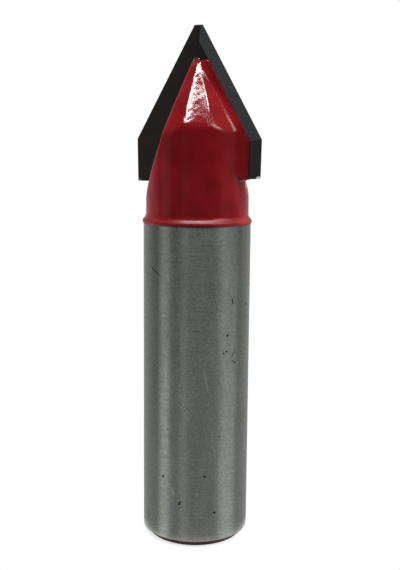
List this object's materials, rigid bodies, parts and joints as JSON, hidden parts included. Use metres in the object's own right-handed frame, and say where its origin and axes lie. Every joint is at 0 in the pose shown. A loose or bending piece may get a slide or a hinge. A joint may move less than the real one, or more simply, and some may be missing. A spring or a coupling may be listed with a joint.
{
  "type": "v groove router bit",
  "caption": "Straight-shanked router bit with brazed carbide edges ground to a V, for cutting grooves and bevels in wood.",
  "frame": {"origin": "centre of the shank's end face", "axes": "+Z along the bit's axis from the shank's end to the point; the rake faces lie in the plane Y = 0, the centre insert towards -X and the side insert towards +X"},
  "size_m": [0.016, 0.0126, 0.0607],
  "materials": {
    "ground_steel": "centreless ground shank, head and neck under glossy red enamel",
    "carbide": "ground tungsten carbide, fine satin",
    "red_enamel": "thick glossy red enamel"
  },
  "bodies": {
    "root": {"cutter_body": "ground_steel", "centre_insert": "carbide", "side_insert": "carbide"}
  },
  "joints": []
}
